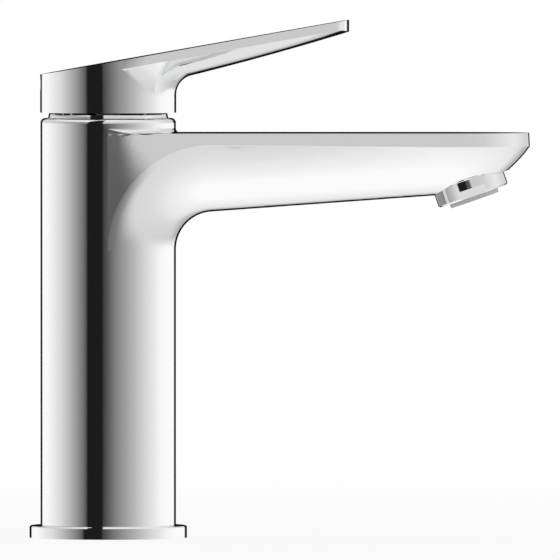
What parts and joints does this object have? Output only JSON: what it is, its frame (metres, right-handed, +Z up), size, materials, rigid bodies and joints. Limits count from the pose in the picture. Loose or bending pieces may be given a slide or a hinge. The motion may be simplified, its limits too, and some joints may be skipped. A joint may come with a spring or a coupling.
{
  "type": "bathroom mixer faucet",
  "caption": "Single-lever deck mixer faucet: round pillar, straight spout with a rounded nose and tilted aerator, and a lever handle that lifts for flow and turns for temperature.",
  "frame": {"origin": "centre of the round base on the deck plane, on the pillar's axis", "axes": "+Z up along the pillar, +X along the spout to its nose, +Y to the left of a user facing it"},
  "size_m": [0.1589, 0.05, 0.1644],
  "materials": {
    "chrome": "polished chrome plate",
    "black_rubber": "matt moulded rubber",
    "grey_plastic": "moulded",
    "white_ceramic": "lapped",
    "brass": "turned",
    "steel": "plain stainless",
    "light_plastic": "moulded"
  },
  "bodies": {
    "faucet": {"mixer_body": "chrome", "base_ring": "chrome", "base_gasket": "black_rubber", "cartridge_housing": "grey_plastic", "cartridge_base": "grey_plastic", "inlet_seals": "black_rubber", "fixed_disc": "white_ceramic", "housing_seal": "black_rubber", "retaining_nut": "brass", "collar_ring": "chrome", "aerator_collar": "chrome", "aerator_insert": "light_plastic", "aerator_nozzle": "light_plastic", "aerator_washer": "black_rubber", "aerator_screen": "steel"},
    "rotor": {"rotor": "grey_plastic", "tilt_pin": "steel"},
    "lever": {"lever_stem": "brass", "handle": "chrome", "grub_screw": "steel", "screw_plug": "chrome"},
    "disc": {"moving_disc": "white_ceramic", "disc_carrier": "grey_plastic"}
  },
  "joints": [
    {"name": "temperature_turn", "type": "hinge", "parent": "faucet", "child": "rotor", "pos_m": [0, 0, 0.124], "axis": [0, 0, 1], "range_deg": [-45, 45]},
    {"name": "flow_lift", "type": "hinge", "parent": "rotor", "child": "lever", "pos_m": [0, 0, 0.124], "axis": [0, -1, 0], "range_deg": [0, 22]},
    {"name": "disc_slide", "type": "slide", "parent": "rotor", "child": "disc", "axis": [1, 0, 0], "range_m": [0, 0.00413]}
  ],
  "couplings": [
    {"joint": "disc_slide", "follows": "flow_lift", "m_per_rad": 0.01073}
  ]
}
